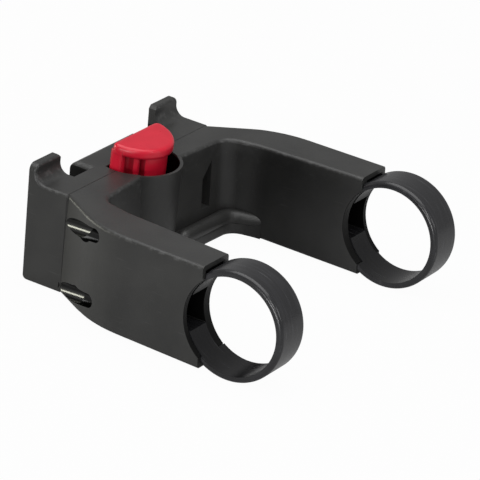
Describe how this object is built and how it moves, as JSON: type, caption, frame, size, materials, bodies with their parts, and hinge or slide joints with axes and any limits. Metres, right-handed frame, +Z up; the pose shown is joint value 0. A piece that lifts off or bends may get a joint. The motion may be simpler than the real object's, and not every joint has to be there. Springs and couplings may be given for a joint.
{
  "type": "bicycle handlebar bag mount",
  "caption": "Bag mount for a bicycle handlebar: strap clamps hold the bar, a forked bracket carries a front housing with hooks, and a red push button releases the bag.",
  "frame": {"origin": "on the handlebar's axis, midway between the clamp straps", "axes": "+X along the handlebar to the rider's right, +Y forward to the bag, +Z up, along the button's travel"},
  "size_m": [0.1102, 0.1033, 0.0424],
  "materials": {
    "moulded_black": "fine moulded texture",
    "strap_black": "satin",
    "button_red": "satin gloss",
    "zinc_steel": "zinc plated",
    "spring_steel": "drawn wire"
  },
  "bodies": {
    "frame": {"arm_bracket": "moulded_black", "front_housing": "moulded_black", "button_spring": "spring_steel", "clamp_bolt_left_upper": "zinc_steel", "clamp_bolt_left_lower": "zinc_steel", "clamp_bolt_right_upper": "zinc_steel", "clamp_bolt_right_lower": "zinc_steel", "housing_screw_left_upper": "zinc_steel", "housing_screw_left_lower": "zinc_steel", "housing_screw_right_upper": "zinc_steel", "housing_screw_right_lower": "zinc_steel"},
    "button": {"release_button": "button_red"},
    "strap_left": {"clamp_strap_left": "strap_black", "clamp_nut_left_upper": "zinc_steel", "clamp_nut_left_lower": "zinc_steel"},
    "strap_right": {"clamp_strap_right": "strap_black", "clamp_nut_right_upper": "zinc_steel", "clamp_nut_right_lower": "zinc_steel"}
  },
  "joints": [
    {"name": "button_press", "type": "slide", "parent": "frame", "child": "button", "axis": [0, 0, -1], "range_m": [0, 0.006], "stiffness_N_per_m": 700, "springref_m": -0.002, "deforming": ["button_spring"]},
    {"name": "strap_left_slide", "type": "slide", "parent": "frame", "child": "strap_left", "axis": [0, -1, 0], "range_m": [0, 0.0025]},
    {"name": "strap_right_slide", "type": "slide", "parent": "frame", "child": "strap_right", "axis": [0, -1, 0], "range_m": [0, 0.0025]}
  ]
}
